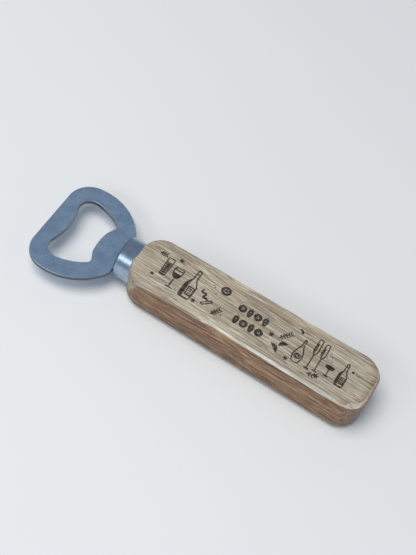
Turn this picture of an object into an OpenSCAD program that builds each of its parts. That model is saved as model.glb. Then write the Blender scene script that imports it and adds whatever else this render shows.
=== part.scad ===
// Wooden handled crown cap opener.
// A flat stamped head with a cap mouth is held by a notched tang in an oak handle.
// A drawn steel collar covers the joint and sleeves over a round spigot on the wood.
// Units are millimetres. X runs along the opener, with the head towards -X.
// The origin is the middle of the flat underside of the handle, and Z is up.

/* [Handle] */
// Length of the wooden block, without the spigot
handle_l = 104.8; // [100:0.2:125]
// Width of the wooden block at the butt end
butt_w = 26.1; // [25:0.1:32]
// Width of the wooden block at the head end, which is a little slimmer
front_w = 25.2; // [24.5:0.1:32]
// Thickness of the wooden block
handle_t = 18.1; // [17.8:0.1:24]
// Plan radius of the two corners at the head end
front_corner_r = 9.8; // [8:0.1:12]
// Plan radius of the two corners at the butt end
butt_corner_r = 8.9; // [8:0.1:12]
// Inward reach of the rounding of the upper edges
top_ease_in = 1.8; // [1:0.1:3]
// Height of the rounding of the upper edges
top_ease_h = 4.5; // [1.5:0.1:6]
// Rounding of the lower edges
bottom_ease_r = 3.6; // [1.5:0.1:5]

/* [Collar] */
// Outside radius of the steel collar
collar_r = 8.7; // [8.5:0.1:8.8]
// Length of the collar in front of the wood
collar_l = 5.7; // [5:0.1:10]
// Length of the collar that is let into the wood
collar_seat = 4; // [3:0.1:5]
// Thickness of the collar's sheet steel
collar_wall = 0.8; // [0.6:0.1:1]
// Radius of the rolled front rim
rim_r = 0.8; // [0.5:0.1:1.8]

/* [Head] */
// Length of the head from the collar to its front edge
head_l = 33.5; // [33:0.1:35]
// Width of the head at its widest
head_w = 46.2; // [45:0.1:48]
// Thickness of the stamped sheet
plate_t = 2; // [1.5:0.1:2.5]
// Plan radius of the two front corners
nose_r = 10.1; // [8:0.1:11]
// Radius of the long curve of each side
flank_r = 24.3; // [23.8:0.1:26]
// Distance of the widest place in front of the collar
widest_at = 21.5; // [21:0.1:22]
// Turn of the head about the upright axis, because it is set in glue by hand
head_skew = 2; // [-2.5:0.1:2.5]

/* [Mouth] */
// Width of the cap mouth
mouth_w = 31.6; // [30:0.1:33]
// Distance of the front lobes of the mouth in front of the collar
mouth_front = 27.1; // [26.8:0.1:27.4]
// Distance of the rear corners of the mouth in front of the collar
mouth_rear = 9.2; // [8.8:0.1:9.6]
// Radius of the two front lobes
lobe_r = 4.9; // [4:0.1:5]
// Radius of the two rear corners
rear_r = 1.9; // [1.5:0.1:2.3]
// Radius of the mouth's long side curves
side_r = 23.5; // [22.5:0.1:26]
// Inward bulge of the front bar, which hooks under the cap
bar_bulge = 1.9; // [1:0.1:2.5]
// Forward reach of the tongue, which presses on top of the cap
tongue_reach = 2.25; // [1.5:0.05:2.6]

/* [Tang and bore] */
// Width of the tang
tang_w = 9; // [7:0.5:9]
// Length of the tang behind the collar's front
tang_l = 44; // [35:1:55]
// Radius of the blind bore in the wood
bore_r = 6.25; // [6:0.05:6.5]
// Depth of the blind bore behind the front of the wooden block
bore_depth = 42; // [42:1:60]
// Clearance of the slot in the collar around the tang
slot_gap = 0.15; // [0.1:0.05:0.3]

/* [Hidden] */

// Front face of the wooden block and height of the opener's long axis
face_x = -handle_l / 2;
axis_z = handle_t / 2;
// Inside of the collar and depth of its hollow
collar_in_r = collar_r - collar_wall;
collar_in_l = collar_l - collar_wall;
// The head turns about this place, just inside the bore, when it is set askew
skew_x = face_x + 3.2;
// The tang stops short of the end of the bore
tang_end = min(tang_l, bore_depth + collar_l - 3);

// Outside curves of the head, measured forward of the collar
flank_v = head_w / 2 - flank_r;
nose_u = head_l - nose_r;
nose_v = flank_v + sqrt(pow(flank_r - nose_r, 2) - pow(nose_u - widest_at, 2));
heel_r = 0.6;
heel_v = flank_v + sqrt(pow(flank_r - heel_r, 2) - pow(widest_at - heel_r, 2));

// Curves of the mouth, each one meeting the next without a corner
lobe_u = mouth_front - lobe_r;
lobe_v = mouth_w / 2 - lobe_r;
side_u = lobe_u + 2;
side_v = lobe_v - sqrt(pow(side_r - lobe_r, 2) - pow(side_u - lobe_u, 2));
rear_u = mouth_rear + rear_r;
rear_v = side_v + sqrt(pow(side_r - rear_r, 2) - pow(side_u - rear_u, 2));
// The bar's curve touches both lobes from outside
bar_in = lobe_r - bar_bulge;
bar_r = (bar_in * bar_in + lobe_v * lobe_v - lobe_r * lobe_r) / (2 * bar_bulge);
bar_u = mouth_front - bar_bulge + bar_r;
// The tongue has a shallow front curve, two rounded corners and two slanted sides
tongue_r = 28;
tongue_corner_r = 3;
slant = 24;
tongue_u = mouth_rear + tongue_reach - tongue_r;
slant_u = rear_u - rear_r * cos(slant);
slant_v = rear_v - rear_r * sin(slant);
reach_u = slant_u - tongue_corner_r * cos(slant) - tongue_u;
reach_v = slant_v - tongue_corner_r * sin(slant);
along = reach_u * sin(slant) - reach_v * cos(slant);
span = pow(tongue_r - tongue_corner_r, 2) - reach_u * reach_u - reach_v * reach_v;
slant_len = -along + sqrt(along * along + span);
corner_u = tongue_u + reach_u + slant_len * sin(slant);
corner_v = reach_v - slant_len * cos(slant);

// Points on an arc from angle a to angle b
function arc(u, v, r, a, b, n) =
    [for (i = [0:n]) [u + r * cos(a + (b - a) * i / n), v + r * sin(a + (b - a) * i / n)]];

// The same points mirrored to the other side, in reverse order
function mirrored(p) = [for (i = [len(p) - 1:-1:0]) [p[i][0], -p[i][1]]];

// Half of the outside of the head, from the collar to the middle of the front edge
function outside_half() =
    let (join = atan2(nose_v - flank_v, nose_u - widest_at))
    let (heel = atan2(heel_v - flank_v, heel_r - widest_at))
    concat(
        arc(heel_r, heel_v, heel_r, 180, heel, 6),
        arc(widest_at, flank_v, flank_r, heel - 2, join, 22),
        arc(nose_u, nose_v, nose_r, join - 6, 0, 14)
    );

// Half of the mouth, from the middle of the bar to the middle of the tongue
function mouth_half() =
    let (bar = atan2(lobe_v, lobe_u - bar_u))
    let (lobe_end = atan2(lobe_v - side_v, lobe_u - side_u))
    let (side_end = atan2(rear_v - side_v, rear_u - side_u))
    let (corner = atan2(corner_v, corner_u - tongue_u))
    concat(
        arc(bar_u, 0, bar_r, 180, bar, 8),
        arc(lobe_u, lobe_v, lobe_r, bar - 180 + 6, lobe_end, 16),
        arc(side_u, side_v, side_r, lobe_end + 2, side_end, 12),
        arc(rear_u, rear_v, rear_r, side_end + 8, 180 + slant, 8),
        arc(corner_u, corner_v, tongue_corner_r, slant, corner, 4),
        arc(tongue_u, 0, tongue_r, corner - 2, 0, 4)
    );

// One edge of the tang, with three glue notches and a pointed end
function tang_edge() =
    let (h = tang_w / 2, cut = 1.2)
    concat(
        [[-tang_end, 0], [-tang_end, h - 2.5], [-tang_end + 2.5, h]],
        [for (i = [2:-1:0], k = [-1, 0, 1])
            [-16 - i * 8 + k * 1.6, h - (k == 0 ? cut : 0)]],
        [[0, h]]
    );

// Moves a part from the head's own plan to its place in front of the handle
module set_head() {
    translate([skew_x, 0, axis_z])
        rotate([0, 0, head_skew])
            translate([face_x - collar_l - skew_x, 0, 0])
                rotate([0, 0, 180])
                    children();
}

// The shape of the tang, which is also cut out of the adhesive
module tang_blank() {
    translate([0, 0, -plate_t / 2])
        linear_extrude(plate_t)
            polygon(concat(tang_edge(), mirrored(tang_edge())));
}

// The whole bore, from the front of the spigot to the drill's point
module bore_space(front) {
    translate([face_x - front, 0, axis_z])
        rotate([0, 90, 0]) {
            cylinder(h = bore_depth + front, r = bore_r, $fn = 64);
            translate([0, 0, bore_depth + front])
                cylinder(h = 3.6, r1 = bore_r, r2 = 0.2, $fn = 64);
        }
}

// Upper rounding of a corner post, a quarter of an ellipse that is taller than it is deep
function top_ease(r) =
    [for (i = [0:8]) [
        r - top_ease_in * (1 - cos(90 * i / 8)),
        handle_t - top_ease_h * (1 - sin(90 * i / 8))
    ]];

// One upright corner of the wooden block, eased at the top and at the bottom
module corner_post(x, y, r) {
    low_in = r - bottom_ease_r;
    translate([x, y, 0])
        rotate_extrude($fn = 64)
            polygon(concat(
                [[0, 0]],
                arc(low_in, bottom_ease_r, bottom_ease_r, -90, 0, 8),
                top_ease(r),
                [[0, handle_t]]
            ));
}

// Flat stamped sheet: cap mouth, shoulders and notched tang in one piece
module head_plate() {
    color([0.62, 0.66, 0.7])
        set_head()
            translate([0, 0, -plate_t / 2])
                linear_extrude(plate_t)
                    difference() {
                        union() {
                            polygon(concat(outside_half(), mirrored(outside_half())));
                            polygon(concat(
                                tang_edge(),
                                [[0.5, tang_w / 2], [0.5, -tang_w / 2]],
                                mirrored(tang_edge())
                            ));
                        }
                        polygon(concat(mouth_half(), mirrored(mouth_half())));
                    }
}

// Drawn steel cup: rolled front rim, slotted front wall and open back
module collar() {
    color([0.75, 0.77, 0.8])
        difference() {
            translate([face_x - collar_l, 0, axis_z])
                rotate([0, 90, 0])
                    rotate_extrude($fn = 96)
                        difference() {
                            union() {
                                square([collar_r - rim_r, collar_l + collar_seat]);
                                translate([0, rim_r])
                                    square([collar_r, collar_l + collar_seat - rim_r]);
                                translate([collar_r - rim_r, rim_r])
                                    circle(r = rim_r, $fn = 32);
                            }
                            translate([-1, collar_wall])
                                square([collar_in_r + 1, collar_l + collar_seat]);
                        }
            set_head()
                translate([-3, -tang_w / 2 - slot_gap, -plate_t / 2 - slot_gap])
                    cube([4, tang_w + 2 * slot_gap, plate_t + 2 * slot_gap]);
        }
}

// The eased block before it is turned and drilled
module wood_blank() {
    hull() {
        for (s = [-1, 1]) {
            corner_post(face_x + front_corner_r, s * (front_w / 2 - front_corner_r),
                front_corner_r);
            corner_post(-face_x - butt_corner_r, s * (butt_w / 2 - butt_corner_r),
                butt_corner_r);
        }
    }
}

// Oak block with eased edges, a round groove and spigot for the collar, and a blind bore
module wooden_handle() {
    color([0.66, 0.6, 0.52])
        difference() {
            union() {
                difference() {
                    wood_blank();
                    translate([face_x - 1, 0, axis_z])
                        rotate([0, 90, 0])
                            cylinder(h = collar_seat + 1, r = collar_r, $fn = 96);
                }
                translate([face_x - collar_in_l, 0, axis_z])
                    rotate([0, 90, 0])
                        cylinder(h = collar_in_l + collar_seat, r = collar_in_r, $fn = 96);
            }
            bore_space(collar_in_l + 1);
        }
}

// Cured epoxy that fills the bore around the notched tang
module adhesive_fill() {
    color([0.8, 0.7, 0.45])
        difference() {
            bore_space(collar_in_l);
            set_head()
                tang_blank();
        }
}

head_plate();
collar();
wooden_handle();
adhesive_fill();
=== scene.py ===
import math
from functools import partialmethod

import bmesh
import bpy
from mathutils import Matrix, Vector, noise
from mathutils.geometry import delaunay_2d_cdt


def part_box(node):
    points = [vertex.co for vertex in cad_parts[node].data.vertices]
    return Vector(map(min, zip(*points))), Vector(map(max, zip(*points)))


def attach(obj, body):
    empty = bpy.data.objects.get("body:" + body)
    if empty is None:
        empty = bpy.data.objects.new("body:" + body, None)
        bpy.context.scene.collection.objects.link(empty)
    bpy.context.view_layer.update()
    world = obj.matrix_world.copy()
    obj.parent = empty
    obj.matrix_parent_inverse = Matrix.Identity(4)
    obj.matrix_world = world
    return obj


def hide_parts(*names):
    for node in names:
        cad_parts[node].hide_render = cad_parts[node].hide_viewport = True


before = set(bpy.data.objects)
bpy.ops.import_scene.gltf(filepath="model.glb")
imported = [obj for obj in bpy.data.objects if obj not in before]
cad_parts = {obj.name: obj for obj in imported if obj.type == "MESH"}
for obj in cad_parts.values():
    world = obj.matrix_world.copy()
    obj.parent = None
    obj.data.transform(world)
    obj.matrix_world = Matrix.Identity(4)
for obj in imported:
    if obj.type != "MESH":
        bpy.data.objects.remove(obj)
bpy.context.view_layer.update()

MM = 0.001
SCENE = bpy.context.scene

# ---- sizes from the CAD frame
_, WOOD_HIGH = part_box("wooden_handle")
COLLAR_LOW, COLLAR_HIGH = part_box("collar")
PLATE_LOW, PLATE_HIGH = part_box("head_plate")

BUTT_X = WOOD_HIGH.x  # butt end of the wooden block
FACE_X = -BUTT_X  # head end of the wooden block
HALF_W = WOOD_HIGH.y  # half the block's width at the butt
FRONT_HALF_W = HALF_W - 0.45 * MM  # and at the slimmer head end
FRONT_R, BUTT_R = 9.8 * MM, 8.9 * MM  # plan radii of the block's corners
THICK = WOOD_HIGH.z  # the block's thickness
AXIS_Z = THICK / 2  # height of the opener's long axis
COLLAR_R = (COLLAR_HIGH.z - COLLAR_LOW.z) / 2
COLLAR_FRONT, COLLAR_BACK = COLLAR_LOW.x, COLLAR_HIGH.x
COLLAR_WALL = 0.8 * MM
COLLAR_IN_R = COLLAR_R - COLLAR_WALL
PLATE_T = PLATE_HIGH.z - PLATE_LOW.z
HEAD_SKEW = math.radians(2.0)  # the head is set two degrees off straight
SKEW_X = FACE_X + 3.2 * MM  # and turns about this place

SAME_POINT = 1e-7  # anything nearer than this is one point
SLIVER = 5e-6  # a boolean's slivers are thinner than this


# ---- mesh helpers
def new_object(name, verts, faces, material=None, smooth=True):
    """A mesh object in the CAD's frame, with outward normals."""
    mesh = bpy.data.meshes.new(name)
    mesh.from_pydata([tuple(v) for v in verts], [], faces)
    bm = bmesh.new()
    bm.from_mesh(mesh)
    bmesh.ops.remove_doubles(bm, verts=bm.verts, dist=SAME_POINT)
    bmesh.ops.recalc_face_normals(bm, faces=bm.faces)
    bm.to_mesh(mesh)
    bm.free()
    for p in mesh.polygons:
        p.use_smooth = smooth
    obj = bpy.data.objects.new(name, mesh)
    SCENE.collection.objects.link(obj)
    if material is not None:
        mesh.materials.append(material)
    return obj


def sharpen(obj, degrees):
    """Marks the edges that turn by more than this many degrees as sharp."""
    bm = bmesh.new()
    bm.from_mesh(obj.data)
    limit = math.radians(degrees)
    for e in bm.edges:
        if len(e.link_faces) == 2:
            e.smooth = e.calc_face_angle(0.0) < limit
    bm.to_mesh(obj.data)
    bm.free()


def cut(obj, tool, operation):
    """Applies one exact boolean to obj and removes the tool."""
    mod = obj.modifiers.new("cut", "BOOLEAN")
    mod.operation = operation
    mod.solver = "EXACT"
    mod.object = tool
    dg = bpy.context.evaluated_depsgraph_get()
    mesh = bpy.data.meshes.new_from_object(obj.evaluated_get(dg))
    obj.modifiers.clear()
    old = obj.data
    name = old.name
    obj.data = mesh
    bpy.data.meshes.remove(old)
    mesh.name = name
    bpy.data.objects.remove(tool)


def clean(obj):
    """Closes up the slivers that a boolean leaves, and shades the faces smooth."""
    bm = bmesh.new()
    bm.from_mesh(obj.data)
    bmesh.ops.remove_doubles(bm, verts=bm.verts, dist=SLIVER)
    bmesh.ops.dissolve_degenerate(bm, edges=bm.edges, dist=SLIVER)
    bmesh.ops.triangulate(bm, faces=[f for f in bm.faces if len(f.verts) > 4])
    bmesh.ops.dissolve_degenerate(bm, edges=bm.edges, dist=SLIVER)
    for f in bm.faces:
        f.smooth = True
    bm.to_mesh(obj.data)
    bm.free()


def lathe(name, profile, x0, segments, material=None):
    """A solid of revolution about the opener's axis. profile is (x from x0, radius)."""
    verts, faces, rows = [], [], []
    for x, r in profile:
        count = 1 if r < SAME_POINT else segments
        rows.append([len(verts) + i % count for i in range(segments)])
        for i in range(count):
            a = 2 * math.pi * i / segments
            verts.append((x0 + x, r * math.cos(a), AXIS_Z + r * math.sin(a)))
    closed = profile[0][1] > SAME_POINT and profile[-1][1] > SAME_POINT
    pairs = list(zip(rows, rows[1:])) + ([(rows[-1], rows[0])] if closed else [])
    for p, q in pairs:
        for i in range(segments):
            j = (i + 1) % segments
            # a quad, or a triangle where one row is a point on the axis
            face = tuple(dict.fromkeys((p[i], p[j], q[j], q[i])))
            if len(face) > 2:
                faces.append(face)
    return new_object(name, verts, faces, material)


def loft(start, count, rows, capped):
    """The quads between rows of count points each, from this index on, and two end faces."""
    faces = []
    for r in range(rows - 1):
        low, high = start + r * count, start + (r + 1) * count
        for i in range(count):
            j = (i + 1) % count
            faces.append((low + i, low + j, high + j, high + i))
    if capped:
        faces += [tuple(reversed(range(start, start + count))), tuple(range(high, high + count))]
    return faces


def arc(cx, cy, r, a, b, n):
    """Points on an arc from angle a to angle b, in degrees, in n steps."""
    turns = [math.radians(a + (b - a) * i / n) for i in range(n + 1)]
    return [(cx + r * math.cos(t), cy + r * math.sin(t)) for t in turns]


def between(p, q, t):
    """The place that is t of the way from p to q."""
    return (p[0] + (q[0] - p[0]) * t, p[1] + (q[1] - p[1]) * t)


def smooth_noise(x, y, z, scale):
    """A gentle unevenness between about -1 and 1, whose waves are about scale long."""
    return noise.noise(Vector((x, y, z)) / scale)


# ---- node helpers
class Nodes:
    """A new material, with short calls for building its node tree."""

    def __init__(self, name):
        self.material = bpy.data.materials.new(name)
        self.material.use_nodes = True
        self.tree = self.material.node_tree
        self.tree.nodes.clear()
        self.out = self.new("OutputMaterial")

    def new(self, kind):
        return self.tree.nodes.new("ShaderNode" + kind)

    def put(self, socket, value):
        """Links an output to a socket, or sets the socket to a number, vector or colour."""
        if hasattr(value, "is_output"):
            self.tree.links.new(value, socket)
        elif isinstance(value, tuple) and socket.type == "RGBA":
            socket.default_value = (*value, 1.0)
        else:
            socket.default_value = value

    def math(self, op, a, b=0.0, clamp=False):
        n = self.new("Math")
        n.operation, n.use_clamp = op, clamp
        self.put(n.inputs[0], a)
        self.put(n.inputs[1], b)
        return n.outputs[0]

    add = partialmethod(math, "ADD")
    sub = partialmethod(math, "SUBTRACT")
    mul = partialmethod(math, "MULTIPLY")
    most = partialmethod(math, "MAXIMUM")
    abs = partialmethod(math, "ABSOLUTE")

    def vmath(self, op, a, b=(0.0, 0.0, 0.0)):
        n = self.new("VectorMath")
        n.operation = op
        self.put(n.inputs[0], a)
        self.put(n.inputs[1], b)
        return n.outputs["Value"] if op == "LENGTH" else n.outputs[0]

    def split(self, v):
        n = self.new("SeparateXYZ")
        self.put(n.inputs[0], v)
        return n.outputs

    def join(self, x, y, z):
        n = self.new("CombineXYZ")
        for i, v in enumerate((x, y, z)):
            self.put(n.inputs[i], v)
        return n.outputs[0]

    def noise(self, v, scale, detail=2.0, rough=0.5, distortion=0.0):
        n = self.new("TexNoise")
        n.noise_dimensions = "3D"
        names = ("Vector", "Scale", "Detail", "Roughness", "Distortion")
        for name, value in zip(names, (v, scale, detail, rough, distortion)):
            self.put(n.inputs[name], value)
        return n.outputs["Fac"]

    def drawn(self, v, scales, detail=2.0, rough=0.5, distortion=0.0):
        """Noise drawn out along an axis, by one scale for each axis."""
        return self.noise(self.vmath("MULTIPLY", v, scales), 1.0, detail, rough, distortion)

    def ramp(self, fac, *stops):
        """A colour ramp. Each stop is a position and a colour or a shade of grey."""
        n = self.new("ValToRGB")
        self.put(n.inputs[0], fac)
        cr = n.color_ramp
        while len(cr.elements) < len(stops):
            cr.elements.new(0.5)
        for e, (pos, col) in zip(cr.elements, stops):
            e.position = pos
            e.color = (*col, 1.0) if isinstance(col, tuple) else (col, col, col, 1.0)
        return n.outputs["Color"]

    def step(self, value, start, end, to_start=0.0, to_end=1.0):
        """A smooth step between two values. It runs downward where end is below start."""
        n = self.new("MapRange")
        n.interpolation_type = "SMOOTHSTEP"
        names = ("Value", "From Min", "From Max", "To Min", "To Max")
        for name, number in zip(names, (value, start, end, to_start, to_end)):
            self.put(n.inputs[name], number)
        return n.outputs["Result"]

    def contour(self, field):
        """Thin wandering lines: the places where a noise crosses its middle."""
        return self.step(self.abs(self.sub(field, 0.5)), 0.030, 0.004)

    def mix(self, fac, a, b, blend="MIX"):
        n = self.new("Mix")
        n.data_type = "RGBA"
        n.blend_type = blend
        self.put(n.inputs[0], fac)
        # a Mix node's sockets 6, 7 and 2 are those for colours
        self.put(n.inputs[6], a)
        self.put(n.inputs[7], b)
        return n.outputs[2]

    def bump(self, height, distance, strength=1.0):
        n = self.new("Bump")
        n.inputs["Strength"].default_value = strength
        n.inputs["Distance"].default_value = distance
        self.put(n.inputs["Height"], height)
        return n.outputs["Normal"]

    def place(self):
        """Object position in millimetres, and the object-space normal."""
        n = self.new("TexCoord")
        scaled = self.new("VectorMath")
        scaled.operation = "SCALE"
        self.put(scaled.inputs[0], n.outputs["Object"])
        scaled.inputs["Scale"].default_value = 1 / MM
        return scaled.outputs[0], n.outputs["Normal"]

    def shader(self, **inputs):
        """Ends the tree in one Principled shader, and gives the finished material."""
        n = self.new("BsdfPrincipled")
        for key, value in inputs.items():
            self.put(n.inputs[key.replace("_", " ")], value)
        self.tree.links.new(n.outputs[0], self.out.inputs["Surface"])
        return self.material


# ---- oak
# places and lengths in the materials are in millimetres, and colours are linear
RING_PITCH = 1.15  # width of one year's growth
PIN_KNOT = (-46.7, -11.7, 14.8)  # low at the near head corner
DRYING_CHECK = (-16.1, -12.7, 16.4)  # on the near side, under the upper edge


class Grain:
    """The patterns that oak's colour and height are made from. The grain runs along X."""

    def __init__(self, k):
        self.place, normal = k.place()
        self.x, self.y, self.z = k.split(self.place)
        self.lean = k.split(normal)
        # it wanders a little along the block and slopes gently across it
        drift = k.mul(k.sub(k.drawn(self.place, (0.020, 0.06, 0.06)), 0.5), 5.5)
        wobble = k.mul(k.sub(k.drawn(self.place, (0.10, 0.40, 0.40)), 0.5), 1.1)
        bent_y = k.add(k.add(self.y, drift), k.mul(self.x, 0.035))
        bent = k.join(self.x, bent_y, k.add(self.z, k.mul(drift, 0.5)))

        # growth rings: a narrow dark line of open pores at the start of each year
        across = k.add(k.mul(bent_y, 0.86), k.mul(self.z, 0.50))
        ring = k.math("FRACT", k.math("DIVIDE", k.add(across, wobble), RING_PITCH))
        line = k.ramp(ring, (0.0, 0.0), (0.05, 1.0), (0.15, 0.60), (0.30, 0.08), (1.0, 0.0))
        broken = k.drawn(bent, (0.055, 0.8, 0.8), 3.0, 0.6)
        self.line = k.mul(line, k.step(broken, 0.38, 0.56))

        # thin dark vessel lines that wander between them, and finer ones like hairs
        vessel = k.contour(k.drawn(bent, (0.028, 1.25, 1.25), 1.5))
        gaps = k.drawn(bent, (0.070, 1.2, 1.2), 2.0, 0.6)
        self.vessel = k.mul(vessel, k.step(gaps, 0.44, 0.58))
        self.hair = k.contour(k.drawn(bent, (0.040, 2.7, 2.7), 1.5))

        # long fibres, wider streaks, single open pores, and the flecks of the sides
        self.fibre = k.drawn(bent, (0.065, 3.4, 3.4), 3.0, 0.55)
        self.streak = k.drawn(bent, (0.035, 0.55, 0.55), 3.0, 0.55)
        pore = k.drawn(bent, (0.20, 4.4, 4.4))
        self.pores = k.mul(k.step(pore, 0.58, 0.66), k.add(k.mul(self.line, 0.4), 0.6))
        self.fleck = k.drawn(bent, (0.095, 1.3, 1.3), 4.0, 0.66)


def face_colour(k, g):
    """The pale wood of the top and the underside."""
    face = k.ramp(g.streak, (0.30, (0.370, 0.298, 0.215)), (0.50, (0.435, 0.370, 0.282)),
                  (0.72, (0.490, 0.435, 0.345)))
    face = k.mix(k.mul(g.line, 0.80), face, (0.130, 0.086, 0.052))
    face = k.mix(k.mul(g.vessel, 0.85), face, (0.110, 0.070, 0.042))
    face = k.mix(k.mul(g.hair, 0.42), face, (0.170, 0.116, 0.075))
    face = k.mix(k.step(g.fibre, 0.50, 0.36, 0.0, 0.65), face, (0.190, 0.135, 0.088))
    return k.mix(k.step(g.fibre, 0.53, 0.66, 0.0, 0.60), face, (0.720, 0.670, 0.565))


def side_colour(k, g):
    """The sides: browner and darker than the top, partly the side grain's own colour and partly painted
    shade, with long dark and pale flecks, and with painted shade toward the bottom and painted light
    toward the top.
    """
    side = k.ramp(g.streak, (0.30, (0.165, 0.084, 0.044)), (0.50, (0.243, 0.130, 0.070)),
                  (0.72, (0.325, 0.192, 0.112)))
    side = k.mix(k.step(g.fleck, 0.53, 0.63, 0.0, 0.85), side, (0.066, 0.028, 0.013))
    side = k.mix(k.step(g.fleck, 0.48, 0.40, 0.0, 0.55), side, (0.470, 0.325, 0.220))
    side = k.mix(k.step(g.fibre, 0.50, 0.34, 0.0, 0.45), side, (0.100, 0.055, 0.032))
    side = k.mix(k.step(g.fibre, 0.54, 0.68, 0.0, 0.35), side, (0.450, 0.330, 0.240))
    side = k.mix(k.mul(k.most(g.line, g.vessel), 0.60), side, (0.075, 0.038, 0.022))
    # painted shade toward the bottom and painted light toward the top
    painted_height_shade = k.ramp(k.step(g.z, 2.5, 12.5), (0.0, (0.90, 0.89, 0.88)), (1.0, (1.24, 1.23, 1.16)))
    return k.mix(1.0, side, painted_height_shade, "MULTIPLY")


def end_colour(k, g):
    """End grain on the butt and the head end: pores seen end on, between pale rays."""
    rays = k.drawn(g.place, (1.0, 0.6, 3.0))
    dots = k.drawn(g.place, (2.4, 2.8, 2.8), 2.0, 0.6)
    end = k.ramp(rays, (0.35, (0.160, 0.094, 0.058)), (0.62, (0.250, 0.160, 0.105)))
    return k.mix(k.step(dots, 0.54, 0.64, 0.0, 0.60), end, (0.080, 0.042, 0.024))


def pale_cover(k, g):
    """Where the pale wood shows: the top, the underside and part of the upper rounding, whose edges also
    carry painted light and painted shade.
    """
    # it wraps lower toward the head end as painted light on the rounder corner there, and less low on the
    # far side as painted shade on the far rim
    painted_light_wrap = k.mul(k.step(g.x, -39.0, -47.0, 0.0, 0.42), k.step(g.z, 13.2, 16.4))
    roll = k.add(g.lean[2], k.step(g.x, -34.0, -49.0, 0.0, 0.20))
    roll = k.add(k.add(roll, painted_light_wrap), k.step(g.x, -6.0, -26.0, 0.0, 0.24))
    roll = k.sub(roll, k.step(g.lean[1], 0.25, 0.60, 0.0, 0.24))
    cover = k.most(k.step(roll, 0.40, 0.62), k.step(g.lean[2], -0.60, -0.85))
    # the cheeks beside the collar are pale further down, as painted light
    down = k.add(g.z, k.step(g.x, -42.0, -50.0, 0.0, 11.0))
    painted_light_cheek = k.mul(k.step(down, 14.5, 18.5), k.step(g.x, -42.0, -47.0, 0.0, 0.80))
    return k.most(cover, painted_light_cheek)


def painted_butt_shade(k, g):
    """A band of painted shade on the upper face along the butt, where it rounds over."""
    past_x = k.most(k.sub(g.x, (BUTT_X - BUTT_R) / MM), 0.0)
    past_y = k.most(k.sub(k.abs(g.y), (HALF_W - BUTT_R) / MM), 0.0)
    rim = k.step(k.vmath("LENGTH", k.join(past_x, past_y, 0.0)), 4.8, 7.8)
    return k.mul(k.mul(rim, k.step(g.x, 39.0, 47.0)), k.step(g.lean[2], 0.25, 0.55))


def painted_edge_highlight(k, g):
    """A painted highlight along the upper edge, strongest toward the butt."""
    edge_highlight = k.mul(k.step(g.lean[2], 0.50, 0.66), k.step(g.lean[2], 0.985, 0.90))
    edge_highlight = k.mul(edge_highlight, k.step(g.lean[0], 0.80, 0.40, 0.10, 1.0))
    edge_highlight = k.mul(edge_highlight, k.step(g.x, -26.0, 12.0, 0.05, 0.80))
    edge_highlight = k.mul(edge_highlight, k.step(g.x, 17.0, 32.0, 1.0, 0.65))
    highlight_breakup = k.drawn(g.place, (0.16, 0.8, 0.8), 3.0, 0.6)
    return k.mul(edge_highlight, k.step(highlight_breakup, 0.34, 0.60, 0.45, 1.0))


def oak_surface(k):
    """Colour, roughness and bump height of oiled oak."""
    g = Grain(k)
    side = k.mix(k.step(k.abs(g.lean[0]), 0.45, 0.85), side_colour(k, g), end_colour(k, g))
    # the sides' darker, browner colour is partly painted shade
    colour = k.mix(pale_cover(k, g), side, face_colour(k, g))
    colour = k.mix(k.mul(g.pores, 0.60), colour, (0.100, 0.064, 0.040))
    # painted shade on the butt's rounding, browner than the wood
    colour = k.mix(painted_butt_shade(k, g), colour, (0.76, 0.66, 0.58), "MULTIPLY")
    # a painted highlight along the upper edge
    colour = k.mix(painted_edge_highlight(k, g), colour, (0.700, 0.700, 0.655))
    # the oil has taken unevenly, in wide patches
    patch = k.drawn(g.place, (0.035, 0.10, 0.10))
    colour = k.mix(1.0, colour, k.ramp(patch, (0.32, 0.82), (0.68, 1.14)), "MULTIPLY")

    # one small pin knot and one short drying check
    knot = k.vmath("LENGTH", k.vmath("SUBTRACT", g.place, PIN_KNOT))
    colour = k.mix(k.step(knot, 1.1, 0.15, 0.0, 0.8), colour, (0.090, 0.050, 0.030))
    check = k.vmath("MULTIPLY", k.vmath("SUBTRACT", g.place, DRYING_CHECK), (0.30, 1.0, 3.6))
    check = k.step(k.vmath("LENGTH", check), 0.95, 0.55)
    colour = k.mix(k.mul(check, 0.8), colour, (0.050, 0.030, 0.020))

    rough = k.add(k.add(k.mul(g.fibre, 0.18), k.mul(g.pores, 0.20)), 0.30)
    height = k.sub(k.mul(g.fibre, 0.45), k.mul(g.pores, 0.8))
    height = k.sub(height, k.mul(k.most(g.line, g.vessel), 0.6))
    height = k.sub(height, k.mul(check, 1.6))
    return colour, rough, height


def oak_material():
    k = Nodes("oiled_oak")
    colour, rough, height = oak_surface(k)
    return k.shader(Base_Color=colour, Roughness=rough, Normal=k.bump(height, 0.06 * MM, 0.8),
                    Specular_IOR_Level=0.28, Coat_Weight=0.05, Coat_Roughness=0.30)


def ink_material():
    """Dark print that has sunk into the same grain, so that the fibres show through."""
    k = Nodes("brown_black_print")
    colour, rough, height = oak_surface(k)
    place, _ = k.place()
    speck = k.drawn(place, (2.0, 5.5, 5.5), 2.0, 0.6)
    thin = k.drawn(place, (0.35, 0.5, 0.5))
    speck = k.step(speck, 0.34, 0.56, 0.84, 0.99)
    cover = k.math("ADD", speck, k.step(thin, 0.35, 0.7, -0.07, 0.03), clamp=True)
    colour = k.mix(cover, colour, (0.017, 0.014, 0.012))
    return k.shader(Base_Color=colour, Roughness=k.add(rough, 0.20),
                    Normal=k.bump(height, 0.04 * MM, 0.7), Specular_IOR_Level=0.22)


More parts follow.
